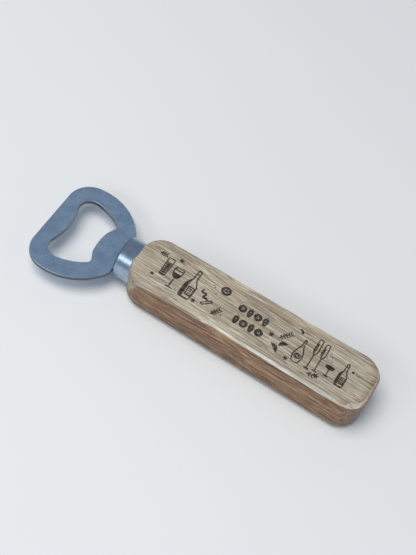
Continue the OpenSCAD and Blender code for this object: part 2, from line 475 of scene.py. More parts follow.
# ---- steel, epoxy and floor
def satin_steel_material():
    k = Nodes("satin_stainless")
    place, normal = k.place()
    up = k.split(normal)[2]
    cloud = k.noise(place, 0.22, 4.0, 0.6)
    mottle = k.noise(place, 1.1, 3.0, 0.6)
    rolled = k.drawn(place, (0.25, 5.0, 5.0), 3.0, 0.6)
    scratch = k.drawn(place, (3.2, 0.35, 1.0), 2.0, 0.5, 1.5)
    # the face's blue cast is a painted reflection of a blue sky
    face = k.ramp(k.add(k.mul(cloud, 0.65), k.mul(mottle, 0.35)), (0.36, (0.445, 0.570, 0.735)),
                  (0.50, (0.535, 0.680, 0.870)), (0.64, (0.650, 0.785, 0.970)))
    # the sheared wall is painted dark as shade, brighter at its burnished upper part and dull where the
    # sheet broke
    above_middle = k.sub(k.split(place)[2], AXIS_Z / MM)
    burnished = k.step(k.add(above_middle, k.mul(mottle, 0.5)), 0.15, 0.45)
    wall = k.mix(burnished, (0.085, 0.100, 0.125), (0.150, 0.175, 0.215))
    colour = k.mix(k.step(k.abs(up), 0.55, 0.97), wall, face)
    # the broken edge round the upper face has a painted highlight
    painted_edge_glint = k.mul(k.step(up, 0.45, 0.70), k.step(up, 0.995, 0.93))
    colour = k.mix(k.mul(painted_edge_glint, 0.35), colour, (0.850, 0.930, 1.0))
    rough = k.add(k.add(k.mul(cloud, 0.14), k.mul(rolled, 0.10)), 0.24)
    height = k.add(k.mul(rolled, 0.5), k.mul(scratch, 0.25))
    return k.shader(Base_Color=colour, Metallic=1.0, Roughness=rough,
                    Normal=k.bump(height, 0.006 * MM, 0.6))


def polished_steel_material():
    k = Nodes("polished_steel")
    place, normal = k.place()
    tool_marks = k.noise(k.join(k.mul(k.split(place)[0], 7.0), 0.0, 0.0), 1.0, 3.0, 0.6)
    haze = k.noise(place, 0.5, 3.0, 0.6)
    # the blue cast is a painted reflection of a blue sky
    colour = k.ramp(haze, (0.35, (0.350, 0.435, 0.540)), (0.65, (0.425, 0.520, 0.635)))
    # the rounded lip is painted dark, as a painted reflection of dark surroundings
    painted_lip_reflection = k.abs(k.split(normal)[0])
    painted_lip_reflection = k.mul(k.step(painted_lip_reflection, 0.12, 0.45), k.step(painted_lip_reflection, 0.97, 0.80))
    colour = k.mix(k.mul(painted_lip_reflection, 0.80), colour, (0.070, 0.085, 0.110))
    rough = k.add(k.mul(haze, 0.14), 0.25)
    return k.shader(Base_Color=colour, Metallic=1.0, Roughness=rough,
                    Normal=k.bump(tool_marks, 0.004 * MM, 0.5))


def epoxy_material():
    k = Nodes("amber_epoxy")
    place, _ = k.place()
    cloud = k.noise(place, 0.6, 3.0)
    colour = k.ramp(cloud, (0.35, (0.42, 0.25, 0.08)), (0.7, (0.60, 0.42, 0.18)))
    return k.shader(Base_Color=colour, Roughness=0.25, Normal=k.bump(cloud, 0.05 * MM, 0.4))


def floor_material():
    k = Nodes("pale_floor")
    place, _ = k.place()
    colour = k.ramp(k.noise(place, 0.004), (0.3, (0.70, 0.70, 0.705)), (0.7, (0.72, 0.72, 0.725)))
    return k.shader(Base_Color=colour, Roughness=0.55, Specular_IOR_Level=0.25)


OAK = oak_material()
INK = ink_material()
SATIN = satin_steel_material()
POLISHED = polished_steel_material()
EPOXY = epoxy_material()


# ---- wooden block
LOW_EASE = 3.6 * MM  # rounding of the lower edges
WOOD_TOP = THICK - 0.03 * MM  # the print stands between here and the CAD's top
GROOVE_GAP = 0.02 * MM  # between the collar and the groove that it sits in
BORE_R, BORE_L = 6.25 * MM, 42 * MM  # the blind bore for the tang, from the head end
BORE_TIP_R, BORE_TIP_L = 0.2 * MM, 3.6 * MM  # and the cone left by its drill
CORNER_STEPS, FOOT_STEPS, WALL_STEPS, BROW_STEPS = 32, 10, 15, 18
TOOL_SEGMENTS, BORE_SEGMENTS = 128, 96
PLAN_STEP = 0.7 * MM  # spacing of the points along the straight sides


def block_plan():
    """The block's plan as (x, y, outward normal), counterclockwise from the butt's far corner."""
    butt, front = BUTT_X - BUTT_R, FACE_X + FRONT_R
    # each corner's centre, side, radius, first angle and half of the width there
    corners = ((butt, 1, BUTT_R, 0, HALF_W), (front, 1, FRONT_R, 90, FRONT_HALF_W),
               (front, -1, FRONT_R, 180, FRONT_HALF_W), (butt, -1, BUTT_R, 270, HALF_W))
    rounds = []
    for cx, side, r, start, half in corners:
        turns = [math.radians(start + 90 * i / CORNER_STEPS) for i in range(CORNER_STEPS + 1)]
        normals = [(math.cos(a), math.sin(a)) for a in turns]
        rounds.append([(cx + r * nx, side * (half - r) + r * ny, nx, ny) for nx, ny in normals])
    plan = []
    for i, corner in enumerate(rounds):
        end, start = corner[-1], rounds[(i + 1) % 4][0]
        steps = max(2, round(math.dist(end[:2], start[:2]) / PLAN_STEP))
        plan += corner + [(*between(end, start, j / steps), *end[2:]) for j in range(1, steps)]
    return plan


def brow_shape(x, y, nx, ny):
    """Inward reach, height and flatness of the upper rounding at one place of the plan.

    It is tall and round at the head and on the far side, chamfered by sanding on the near side
    and crisp at the butt. Each side's share of its values follows from the outward normal.
    """
    near, far = max(-ny, 0.0) ** 2, max(ny, 0.0) ** 2
    butt, head = max(nx, 0.0) ** 2, max(-nx, 0.0) ** 2
    along = x / BUTT_X
    late = max(along, 0.0)
    reach = (1.45 + 0.2 * late) * near + 1.7 * far + 1.25 * butt + 1.75 * head
    tall = (1.7 - 0.9 * along - 0.5 * late) * near + 5.0 * far + 1.2 * butt + 6.5 * head
    flat = (0.30 + 0.25 * along) * near + 0.1 * far + 0.3 * butt
    # the top runs furthest out at the near head corner
    full = math.exp(-((nx + 0.64) / 0.34) ** 2) * (ny < 0)
    reach -= 0.55 * full
    tall -= 1.9 * full
    # a flat left by the belt sander on the near butt corner
    corner = math.exp(-((nx - 0.62) / 0.22) ** 2) * (ny < 0)
    reach += 0.9 * corner
    tall += 0.5 * corner
    flat += 0.5 * corner
    uneven = smooth_noise(x / MM, y / MM, 3.0, 14.0) + 0.5 * smooth_noise(x / MM, y / MM, 9.0, 5.0)
    return (reach + 0.22 * uneven) * MM, (tall + 0.35 * uneven) * MM, min(max(flat, 0.0), 0.9)


def block_rings():
    """The rings of the block's skin, from the middle of its base to the middle of its top."""
    rings = [("base", inset * MM) for inset in (8.0, 6.0, 4.8, 3.9)]
    rings += [("foot", math.radians(90 * i / FOOT_STEPS)) for i in range(FOOT_STEPS + 1)]
    rings += [("wall", i / WALL_STEPS) for i in range(1, WALL_STEPS)]
    rings += [("brow", i / BROW_STEPS) for i in range(BROW_STEPS + 1)]
    rings += [("top", inset * MM) for inset in (0.2, 0.6, 1.3, 2.4, 3.6, 5.0)]
    return rings


def ring_place(kind, value, x, y, nx, ny):
    """How far inside the plan a point of a ring lies, and its height."""
    reach, tall, flat = brow_shape(x, y, nx, ny)
    if kind == "base":
        return value, 0.0
    if kind == "top":
        return reach + value, WOOD_TOP
    if kind == "foot":
        d = LOW_EASE * (1 - math.sin(value))
        z = LOW_EASE * (1 - math.cos(value))
    elif kind == "wall":
        d = 0.0
        z = LOW_EASE + (WOOD_TOP - tall - LOW_EASE) * value
    else:
        # between a quarter ellipse and a straight chamfer, as sanding leaves it
        turn = value * math.pi / 2
        mix = flat * min(1.0, 6.0 * value * (1 - value))
        d = reach * ((1 - math.cos(turn)) * (1 - mix) + value * mix)
        z = WOOD_TOP - tall + tall * (math.sin(turn) * (1 - mix) + value * mix)
    # a faint unevenness in the sanded walls
    lump = smooth_noise(x / MM, y / MM, z / MM, 11.0)
    d += 0.05 * MM * max(0.0, 0.6 - lump) * (1.0 if kind == "wall" else 0.6)
    return d, z


def build_block():
    plan, rings = block_plan(), block_rings()
    verts = []
    for kind, value in rings:
        for x, y, nx, ny in plan:
            d, z = ring_place(kind, value, x, y, nx, ny)
            verts.append((x - nx * d, y - ny * d, z))
    block = new_object("oak_handle", verts, loft(0, len(plan), len(rings), capped=True), OAK)
    # the collar's groove and spigot, and the bore for the tang; each tool reaches past the
    # surface that it goes through
    clear = 3 * MM
    seat = COLLAR_BACK - FACE_X
    ring = [(-clear, COLLAR_IN_R), (seat, COLLAR_IN_R)]
    ring += [(x, COLLAR_R + GROOVE_GAP) for x in (seat, -clear)]
    cut(block, lathe("groove_tool", ring, FACE_X, TOOL_SEGMENTS), "DIFFERENCE")
    inside_x = COLLAR_FRONT + COLLAR_WALL
    spigot_l = FACE_X - inside_x
    deep = spigot_l + 2 * MM
    spigot = [(0, 0), (0, COLLAR_IN_R), (deep, COLLAR_IN_R), (deep, 0)]
    cut(block, lathe("spigot_tool", spigot, inside_x, TOOL_SEGMENTS), "UNION")
    end = BORE_L + spigot_l
    tip = end + BORE_TIP_L
    bore = [(-1 * MM, 0), (-1 * MM, BORE_R), (end, BORE_R), (tip, BORE_TIP_R), (tip, 0)]
    cut(block, lathe("bore_tool", bore, inside_x, BORE_SEGMENTS), "DIFFERENCE")
    clean(block)
    sharpen(block, degrees=32)
    return block


# ---- stamped head, in millimetres
# u runs forward from the collar's front, and v across
HEAD_L, HEAD_W = 33.5, 46.2  # length and width of the head
NOSE_R, FLANK_R, HEEL_R = 10.1, 24.3, 0.6  # radii of its front corners, sides and heels
WIDEST = 21.5  # where it is widest
MOUTH_W, MOUTH_FRONT, MOUTH_REAR = 31.6, 27.1, 9.2  # the cap mouth's width and its two ends
LOBE_R, REAR_R, SIDE_R = 4.9, 1.9, 23.5  # radii of its front lobes, rear corners and sides
BAR_BULGE = 1.9  # how far the front bar bulges into it
TONGUE_REACH = 2.25  # how far the tongue reaches into it
TONGUE_R, TONGUE_CORNER_R = 28.0, 3.0  # radii of the tongue's front and its corners
SLANT = 24.0  # slant of the tongue's sides, degrees
TANG_W, TANG_END, TANG_CHAMFER = 9.0, 44.0, 2.5
NOTCH_FIRST, NOTCH_PITCH, NOTCH_HALF_L, NOTCH_DEPTH = -16.0, 8.0, 1.6, 1.2  # in the tang
EDGE_R, EDGE_STEPS = 0.34, 5  # the sheet's broken edges
HOLD = 0.48  # inset of the flat loop that holds their shading
NET = 1.3  # pitch of the net of triangles over each face
WAVE = 0.012  # waviness of rolled sheet


def heading(y, x):
    """The direction of a vector, in degrees."""
    return math.degrees(math.atan2(y, x))


def outside_half():
    """Half of the head's outside and tang, from the front edge back."""
    flank_v = HEAD_W / 2 - FLANK_R
    nose_u = HEAD_L - NOSE_R
    nose_v = flank_v + math.sqrt((FLANK_R - NOSE_R) ** 2 - (nose_u - WIDEST) ** 2)
    heel_v = flank_v + math.sqrt((FLANK_R - HEEL_R) ** 2 - (WIDEST - HEEL_R) ** 2)
    join = heading(nose_v - flank_v, nose_u - WIDEST)
    heel = heading(heel_v - flank_v, HEEL_R - WIDEST)
    h = TANG_W / 2
    pts = [(HEAD_L, nose_v * i / 14) for i in range(14)]
    pts += arc(nose_u, nose_v, NOSE_R, 0, join, 30)
    pts += arc(WIDEST, flank_v, FLANK_R, join, heel, 56)[1:]
    pts += arc(HEEL_R, heel_v, HEEL_R, heel, 180, 12)[1:]
    pts += [(0, h + (heel_v - h) * t) for t in (0.66, 0.33)]
    pts += [(0, h)]
    for i in range(3):
        notch = NOTCH_FIRST - i * NOTCH_PITCH
        pts += [(notch + NOTCH_HALF_L, h), (notch, h - NOTCH_DEPTH), (notch - NOTCH_HALF_L, h)]
    pts += [(-TANG_END + TANG_CHAMFER, h), (-TANG_END, h - TANG_CHAMFER)]
    return pts


def mouth_half():
    """Half of the cap mouth, from the bar to the tongue."""
    lobe_u, lobe_v = MOUTH_FRONT - LOBE_R, MOUTH_W / 2 - LOBE_R
    side_u = lobe_u + 2
    side_v = lobe_v - math.sqrt((SIDE_R - LOBE_R) ** 2 - (side_u - lobe_u) ** 2)
    rear_u = MOUTH_REAR + REAR_R
    rear_v = side_v + math.sqrt((SIDE_R - REAR_R) ** 2 - (side_u - rear_u) ** 2)
    bar_in = LOBE_R - BAR_BULGE
    bar_r = (bar_in ** 2 + lobe_v ** 2 - LOBE_R ** 2) / (2 * BAR_BULGE)
    bar_u = MOUTH_FRONT - BAR_BULGE + bar_r
    tongue_u = MOUTH_REAR + TONGUE_REACH - TONGUE_R
    s, c = math.sin(math.radians(SLANT)), math.cos(math.radians(SLANT))
    reach_u = rear_u - REAR_R * c - TONGUE_CORNER_R * c - tongue_u
    reach_v = rear_v - REAR_R * s - TONGUE_CORNER_R * s
    along = reach_u * s - reach_v * c
    span = (TONGUE_R - TONGUE_CORNER_R) ** 2 - reach_u ** 2 - reach_v ** 2
    slant_len = -along + math.sqrt(along ** 2 + span)
    corner_u = tongue_u + reach_u + slant_len * s
    corner_v = reach_v - slant_len * c
    bar = heading(lobe_v, lobe_u - bar_u)
    lobe_end = heading(lobe_v - side_v, lobe_u - side_u)
    side_end = heading(rear_v - side_v, rear_u - side_u)
    corner = heading(corner_v, corner_u - tongue_u)
    pts = arc(bar_u, 0, bar_r, 180, bar, 20)
    pts += arc(lobe_u, lobe_v, LOBE_R, bar - 180, lobe_end, 34)[1:]
    pts += arc(side_u, side_v, SIDE_R, lobe_end, side_end, 26)[1:]
    pts += arc(rear_u, rear_v, REAR_R, side_end, 180 + SLANT, 18)[1:]
    start = (corner_u + TONGUE_CORNER_R * c, corner_v + TONGUE_CORNER_R * s)
    end = pts[-1]
    pts += [between(end, start, t) for t in (0.25, 0.5, 0.75)]
    pts += arc(corner_u, corner_v, TONGUE_CORNER_R, SLANT, corner, 8)
    pts += arc(tongue_u, 0, TONGUE_R, corner, 0, 10)[1:]
    return pts


def whole(half, ends_on_axis):
    """The half outline, which starts on the axis, joined to its mirror image."""
    back = [(u, -v) for u, v in reversed(half)]
    return half + (back[1:-1] if ends_on_axis else back[:-1])


def offset(points, d):
    """Moves each point of a closed outline to its left by d."""
    out = []
    n = len(points)
    for i in range(n):
        ax, ay = points[i - 1]
        bx, by = points[i]
        cx, cy = points[(i + 1) % n]
        u = Vector((bx - ax, by - ay)).normalized()
        v = Vector((cx - bx, cy - by)).normalized()
        nl = Vector((-u.y - v.y, u.x + v.x)).normalized()
        grow = 1.0 / max(0.5, nl.dot(Vector((-u.y, u.x))))
        out.append((bx + nl.x * d * grow, by + nl.y * d * grow))
    return out


def signed_area(points):
    """The area of an outline, which is positive where it runs counterclockwise."""
    total = 0.0
    for i in range(len(points)):
        total += points[i - 1][0] * points[i][1] - points[i][0] * points[i - 1][1]
    return total / 2


def inside(x, y, outline):
    """Whether a ray from the point crosses the outline an odd number of times."""
    odd = False
    for i in range(len(outline)):
        ax, ay = outline[i - 1]
        bx, by = outline[i]
        if (ay > y) != (by > y) and x < (bx - ax) * (y - ay) / (by - ay) + ax:
            odd = not odd
    return odd


def to_head(u, v, z):
    """From the head's own plan and a height about the axis to a place in the CAD's frame."""
    x = COLLAR_FRONT - u * MM - SKEW_X
    y = -v * MM
    c, s = math.cos(HEAD_SKEW), math.sin(HEAD_SKEW)
    return (SKEW_X + x * c - y * s, x * s + y * c, AXIS_Z + z * MM)


def plate_sections(half_t):
    """The sheet's edge from its lower to its upper face, as (inset, height)."""
    upper = arc(EDGE_R, half_t - EDGE_R, EDGE_R, 180, 90, EDGE_STEPS) + [(HOLD, half_t)]
    return [(d, -z) for d, z in reversed(upper)] + [(0.0, -0.2), (0.0, 0.25)] + upper


def plate_net(outer, mouth):
    """The net of triangles over each face, and each of its points' place in the two rims."""
    rim_o, rim_m = offset(outer, HOLD), offset(mouth, HOLD)
    n_o, n_m = len(rim_o), len(rim_m)
    points = [Vector(p) for p in rim_o + rim_m]
    edges = [(i, (i + 1) % n_o) for i in range(n_o)]
    edges += [(n_o + i, n_o + (i + 1) % n_m) for i in range(n_m)]
    grid_o, grid_m = offset(outer, NET), offset(mouth, NET)
    pitch = NET * 0.87  # between rows of nearly equal-sided triangles
    rows = math.ceil(HEAD_W / 2 / pitch)
    for i in range(-math.ceil(TANG_END / NET), math.ceil(HEAD_L / NET) + 1):
        for j in range(-rows, rows + 1):
            u, v = (i + 0.5 * (j % 2)) * NET, j * pitch
            if inside(u, v, grid_o) and not inside(u, v, grid_m):
                points.append(Vector((u, v)))
    net, _, triangles, origin, _, _ = delaunay_2d_cdt(points, edges, [], 0, 1e-6)
    kept = []
    for t in triangles:
        u, v = sum(net[i].x for i in t) / 3, sum(net[i].y for i in t) / 3
        if inside(u, v, rim_o) and not inside(u, v, rim_m):
            kept.append(t)
    return net, [o[0] if o else len(points) for o in origin], kept


def build_plate():
    outer = whole(outside_half(), ends_on_axis=False)
    mouth = whole(mouth_half(), ends_on_axis=True)
    # the two run opposite ways, so that an offset to the left goes into the metal
    if signed_area(outer) < 0:
        outer.reverse()
    if signed_area(mouth) > 0:
        mouth.reverse()
    outer = offset(outer, 0.01)  # keeps the finer outline inside the CAD's facets
    half_t = PLATE_T / MM / 2
    sections = plate_sections(half_t)
    verts, faces, rims = [], [], []
    for outline in (outer, mouth):
        start, n = len(verts), len(outline)
        for d, z in sections:
            verts += [to_head(u, v, z) for u, v in offset(outline, d)]
        faces += loft(start, n, len(sections), capped=False)
        rims.append((list(range(start, start + n)), list(range(len(verts) - n, len(verts)))))
    net, source, triangles = plate_net(outer, mouth)
    for side, level in ((0, -half_t), (1, half_t)):
        rim = rims[0][side] + rims[1][side]
        index = {}
        for i, p in enumerate(net):
            if source[i] < len(rim):
                index[i] = rim[source[i]]
                continue
            index[i] = len(verts)
            dip = min(WAVE * smooth_noise(p.x, p.y, level * 5, 9.0) - WAVE / 2, 0.0)
            verts.append(to_head(p.x, p.y, level + (dip if level > 0 else -dip)))
        faces += [tuple(index[i] for i in t) for t in triangles]
    plate = new_object("head_plate_stamped", verts, faces, SATIN)
    sharpen(plate, degrees=50)
    return plate


# ---- collar, in millimetres
RIM_R, RIM_STEPS = 0.8, 16  # rounding of the front lip
SLOT_GAP = 0.15  # round the tang in the collar's slot
COLLAR_SEGMENTS = 192


def build_collar():
    length = (COLLAR_BACK - COLLAR_FRONT) / MM
    r, wall = COLLAR_R / MM, COLLAR_WALL / MM
    # from the middle of the front face over the lip, back along the outside and in again
    profile = [(0.0, y) for y in (0.0, 2.0, 4.5, r - RIM_R - 0.5, r - RIM_R - 0.08)]
    profile += arc(RIM_R, r - RIM_R, RIM_R, 180, 90, RIM_STEPS)
    profile += [(x, r) for x in (RIM_R + 0.15, 2.6, 4.0, 5.4, 7.5, length - 0.2)]
    profile += [(length, r - 0.2), (length, r - wall), (wall + 0.4, r - wall)]
    profile += [(wall, r - wall - 0.4), (wall, 4.0), (wall, 0.0)]
    profile = [(x * MM, y * MM) for x, y in profile]
    collar = lathe("ferrule", profile, COLLAR_FRONT, COLLAR_SEGMENTS, POLISHED)
    h, t = TANG_W / 2 + SLOT_GAP, PLATE_T / MM / 2 + SLOT_GAP
    verts = [to_head(u, v, z) for u in (-3, 1) for v in (-h, h) for z in (-t, t)]
    faces = [(0, 1, 3, 2), (4, 6, 7, 5), (0, 4, 5, 1), (2, 3, 7, 6), (0, 2, 6, 4), (1, 5, 7, 3)]
    cut(collar, new_object("slot_tool", verts, faces, smooth=False), "DIFFERENCE")
    clean(collar)
    sharpen(collar, degrees=40)
    return collar


handle = build_block()
plate = build_plate()
collar = build_collar()


# ---- printed drawings, in millimetres
PRINT_X = 0.49  # the drawings sit this far toward the butt
PRINT_TOP = 0.004  # their depth below the CAD's top
PRINT_ROOT = 0.03  # how far they go into the wood
LAYERS, LAYER_STEP = 12, 0.0008  # overlapping strokes differ a little in height
INK_SPREAD = 1.55  # how many times wider a line grows as it sinks in
FINEST_LINE = 0.50  # and no line is finer than this
STROKE_STEP = 0.35  # spacing of the points along a stroke
SLAB_POINTS = 6  # steps along a stroke that one slab covers


class Print:
    """Collects the thin closed slabs of one drawing, which lie in the top of the wood."""

    def __init__(self):
        self.verts, self.faces, self.layer = [], [], 0

    def slab(self, points):
        """A closed slab over a simple outline on the top face."""
        if signed_area(points) < 0:
            points = list(reversed(points))
        self.layer += 1
        sunk = (self.layer % LAYERS) * LAYER_STEP * MM
        start = len(self.verts)
        for z in (WOOD_TOP - PRINT_ROOT * MM - sunk, THICK - PRINT_TOP * MM - sunk):
            self.verts += [((x + PRINT_X) * MM, y * MM, z) for x, y in points]
        self.faces += loft(start, len(points), 2, capped=True)

    def stroke(self, points, width, taper=0.75, closed=False):
        """A brush line of varying width. taper is how much of the width its ends keep."""
        width = max(width * INK_SPREAD, FINEST_LINE)
        pts = [Vector(p) for p in points]
        if closed:
            pts.append(pts[0])
        fine = [pts[0]]
        for a, b in zip(pts, pts[1:]):
            steps = max(1, round((b - a).length / STROKE_STEP))
            fine += [a.lerp(b, i / steps) for i in range(1, steps + 1)]
        left, right = [], []
        n = len(fine)
        for i, p in enumerate(fine):
            d = (fine[min(i + 1, n - 1)] - fine[max(i - 1, 0)]).normalized()
            side = Vector((-d.y, d.x))
            w = width / 2 * (1 + 0.35 * smooth_noise(p.x, p.y, self.layer * 1.7, 1.1))
            if not closed:
                t = min(i, n - 1 - i) / max(1, n - 1) * 2
                w *= taper + (1 - taper) * min(1.0, t * 2.5)
            left.append(p + side * w)
            right.append(p - side * w)
        for i in range(0, n - 1, SLAB_POINTS):
            j = min(i + SLAB_POINTS, n - 1) + 1
            self.slab([tuple(p) for p in left[i:j] + right[i:j][::-1]])

    def pair(self, points, x, width):
        """A stroke and its mirror image on the other side of x."""
        self.stroke(points, width)
        self.stroke(mirrored(points, x), width)

    def level(self, x, y, half, width):
        """A level stroke that reaches as far to each side of x."""
        self.stroke([(x - half, y), (x + half, y)], width)

    def disc(self, x, y, r):
        """A slightly uneven dot."""
        points = []
        for i in range(12):
            a = 2 * math.pi * i / 12
            uneven = r * (1 + 0.12 * smooth_noise(x + i, y, 4.0, 0.9))
            points.append((x + uneven * math.cos(a), y + uneven * math.sin(a)))
        self.slab(points)

    def dots(self, r, *places):
        for x, y in places:
            self.disc(x, y, r)

    def star(self, x, y, r):
        """Three crossed strokes."""
        for i in range(3):
            a = math.pi * i / 3 + 0.3
            u, v = 1.15 * r * math.cos(a), 1.15 * r * math.sin(a)
            self.stroke([(x - u, y - v), (x + u, y + v)], r * 0.34, 0.3)

    def made(self, name):
        return new_object(name, self.verts, self.faces, INK, smooth=False)


def turned(points, x, y, angle):
    """Moves a drawing's points to (x, y), turned by angle degrees."""
    c, s = math.cos(math.radians(angle)), math.sin(math.radians(angle))
    return [(x + px * c - py * s, y + px * s + py * c) for px, py in points]


def mirrored(points, x):
    """The same points on the other side of an upright line at x."""
    return [(2 * x - px, py) for px, py in points]


def ellipse(x, y, rx, ry):
    angles = [2 * math.pi * i / 20 for i in range(20)]
    return [(x + rx * math.cos(a), y + ry * math.sin(a)) for a in angles]


def sprig(p, x, y, angle, size, leaves):
    """A stem with paired leaves."""
    p.stroke(turned([(0, 0), (size * 0.5, 0.15), (size, 0)], x, y, angle), 0.30)
    for i in range(leaves):
        t = (i + 0.6) / leaves * size
        for side in (-1, 1):
            leaf = [(t, 0), (t + 0.60, side * 0.28), (t + 1.2, side * 1.20), (t + 0.25, side * 0.85)]
            p.slab(turned(leaf, x, y, angle))


def tumbler(p, x, y, tall, wide):
    """A tall glass with a hatched filling, drawn upright along Y."""
    w = wide / 2
    p.level(x, y, w * 0.8, 0.55)
    p.pair([(x - w * 0.8, y), (x - w, y + tall)], x, 0.32)
    p.level(x, y + tall, w, 0.26)
    p.level(x, y + tall * 0.72, w * 0.9, 0.24)
    for i in range(5):
        level = y + tall * (0.12 + 0.12 * i)
        p.stroke([(x - w * 0.62, level), (x + w * 0.62, level + 0.35)], 0.42)
    for i in (-0.35, 0.2):
        p.stroke([(x + w * i, y + 0.5), (x + w * (i + 0.1), y + tall * 0.68)], 0.26)


def stem_glass(p, x, y, tall, wide, fill):
    """A stemmed glass with a dark filling."""
    w, foot = wide / 2, wide * 0.32
    bowl = y + tall * 0.50
    p.level(x, y, foot, 0.42)
    p.stroke([(x, y), (x, bowl)], 0.36)
    side = [(x, bowl), (x + w * 0.62, bowl + tall * 0.10), (x + w * 0.95, bowl + tall * 0.28),
            (x + w, y + tall)]
    p.pair(side, x, 0.28)
    p.stroke(ellipse(x, y + tall, w, tall * 0.07), 0.24, closed=True)
    level = bowl + tall * 0.5 * fill
    drink = [(x + 0.2, bowl + 0.2), (x + w * 0.60, bowl + tall * 0.12), (x + w * 0.86, level)]
    p.slab(drink + mirrored(reversed(drink), x))


def bottle(p, x, y, tall, wide):
    """A bottle with a label and one dark side, drawn upright along Y."""
    w, neck = wide / 2, wide * 0.13
    body = y + tall * 0.46
    shoulder = y + tall * 0.66
    right = [(x + w * 0.9, y), (x + w, y + 0.8), (x + w, body), (x + w * 0.72, body + tall * 0.10),
             (x + neck * 1.3, shoulder), (x + neck, y + tall)]
    p.pair(right, x, 0.34)
    p.level(x, y, w * 0.9, 0.5)
    p.level(x, y + tall, neck * 1.2, 0.45)
    p.level(x, y + tall * 0.88, neck, 0.25)
    low, high = y + tall * 0.13, y + tall * 0.40
    label = [(x - w * 0.15, low), (x + w * 0.88, low), (x + w * 0.88, high), (x - w * 0.15, high)]
    p.stroke(label, 0.22, closed=True)
    for i in range(3):
        level = low + (high - low) * (0.25 + 0.25 * i)
        p.stroke([(x + w * 0.05, level), (x + w * 0.68, level)], 0.2)
    p.slab([(x - w * 0.88, y + 0.4), (x - w * 0.35, y + 0.5), (x - w * 0.42, body),
            (x - neck * 1.1, shoulder - 0.3), (x - w * 0.9, body)])


def corkscrew(p, x, y, angle):
    """A bar handle with a coiled worm."""
    grip = turned([(-2.2, -0.45), (2.2, -0.45), (2.2, 0.45), (-2.2, 0.45)], x, y, angle)
    p.stroke(grip, 0.28, closed=True)
    worm = [(0.75 * math.sin(t * 0.9) * min(1, t / 3), 0.6 + 0.36 * t) for t in range(16)]
    p.stroke(turned(worm, x, y, angle), 0.58)


def slice_of_fruit(p, x, y, r):
    """A round slice with five segments."""
    p.stroke(ellipse(x, y, r, r * 0.92), 0.34, closed=True)
    p.stroke(ellipse(x, y, r * 0.72, r * 0.66), 0.18, closed=True)
    for i in range(5):
        a = 2 * math.pi * i / 5 + 0.4
        p.stroke([(x, y), (x + r * 0.68 * math.cos(a), y + r * 0.62 * math.sin(a))], 0.2)


def crown_cap(p, x, y, r):
    """A crown cap seen from above: a rim of twelve teeth, a ring and a dot."""
    teeth = 12
    rim = []
    for i in range(teeth * 2):
        q = r if i % 2 == 0 else r * 0.84
        a = math.pi * i / teeth
        rim.append((x + q * math.cos(a), y + q * math.sin(a)))
    p.stroke(rim, 0.46, closed=True)
    p.stroke(ellipse(x, y, r * 0.55, r * 0.55), 0.34, closed=True)
    p.disc(x, y, r * 0.22)


def hop_cone(p, x, y, size):
    """A hop cone of overlapping scales with a short stalk."""
    p.stroke([(x, y + size * 0.9), (x + size * 0.1, y + size * 1.2)], 0.34)
    rows = ((0.62, 0.42), (0.30, 0.56), (-0.04, 0.58), (-0.38, 0.46), (-0.70, 0.26))
    w = size * 0.28
    scale = [(-w, w * 0.6), (0, w), (w, w * 0.6), (w * 0.5, -w * 0.7), (0, -w * 1.2), (-w * 0.5, -w * 0.7)]
    for row, (up, half) in enumerate(rows):
        # every other row leaves its middle scale out
        for side in (-1, 1) if row % 2 else (-1, 0, 1):
            cx, cy = x + side * half * size * 0.62, y + up * size
            p.slab([(cx + u, cy + v) for u, v in scale])


def flute(p, x, y, tall, wide):
    """A narrow stemmed glass."""
    w = wide / 2
    p.level(x, y, w * 1.1, 0.42)
    p.stroke([(x, y), (x, y + tall * 0.42)], 0.34)
    side = [(x, y + tall * 0.42), (x + w, y + tall * 0.62), (x + w * 0.8, y + tall)]
    p.pair(side, x, 0.24)
    p.level(x, y + tall, w * 0.8, 0.22)
    p.stroke([(x - w * 0.35, y + tall * 0.50), (x - w * 0.35, y + tall * 0.86)], 0.3)


def coupe(p, x, y, tall, wide):
    """A wide shallow glass, filled in."""
    w = wide / 2
    p.level(x, y, w * 0.5, 0.36)
    p.stroke([(x, y), (x, y + tall * 0.6)], 0.3)
    p.slab([(x - w, y + tall), (x - w * 0.8, y + tall * 0.72), (x, y + tall * 0.58),
            (x + w * 0.8, y + tall * 0.72), (x + w, y + tall), (x, y + tall * 1.08)])


def flask(p, x, y, tall, wide):
    """A round bellied bottle."""
    w = wide / 2
    side = [(x + 0.35, y + tall), (x + 0.4, y + tall * 0.74), (x + w * 0.75, y + tall * 0.5),
            (x + w, y + tall * 0.28), (x + w * 0.7, y + 0.4), (x, y)]
    p.pair(side, x, 0.32)
    p.level(x, y + tall, 0.5, 0.5)
    p.stroke(ellipse(x, y + tall * 0.28, w * 0.6, w * 0.55), 0.22, closed=True)
    p.stroke(ellipse(x, y + tall * 0.28, w * 0.28, w * 0.25), 0.24, closed=True)


def wedge(p, x, y, angle, size):
    """A wedge of fruit with its rind."""
    body = [(-size, 0), (-size * 0.6, size * 0.55), (0, size * 0.75), (size * 0.6, size * 0.55),
            (size, 0), (0, size * 0.12)]
    p.slab(turned(body, x, y, angle))
    p.stroke(turned([(-size * 1.1, 0.05), (0, -0.1), (size * 1.1, 0.05)], x, y, angle), 0.30)


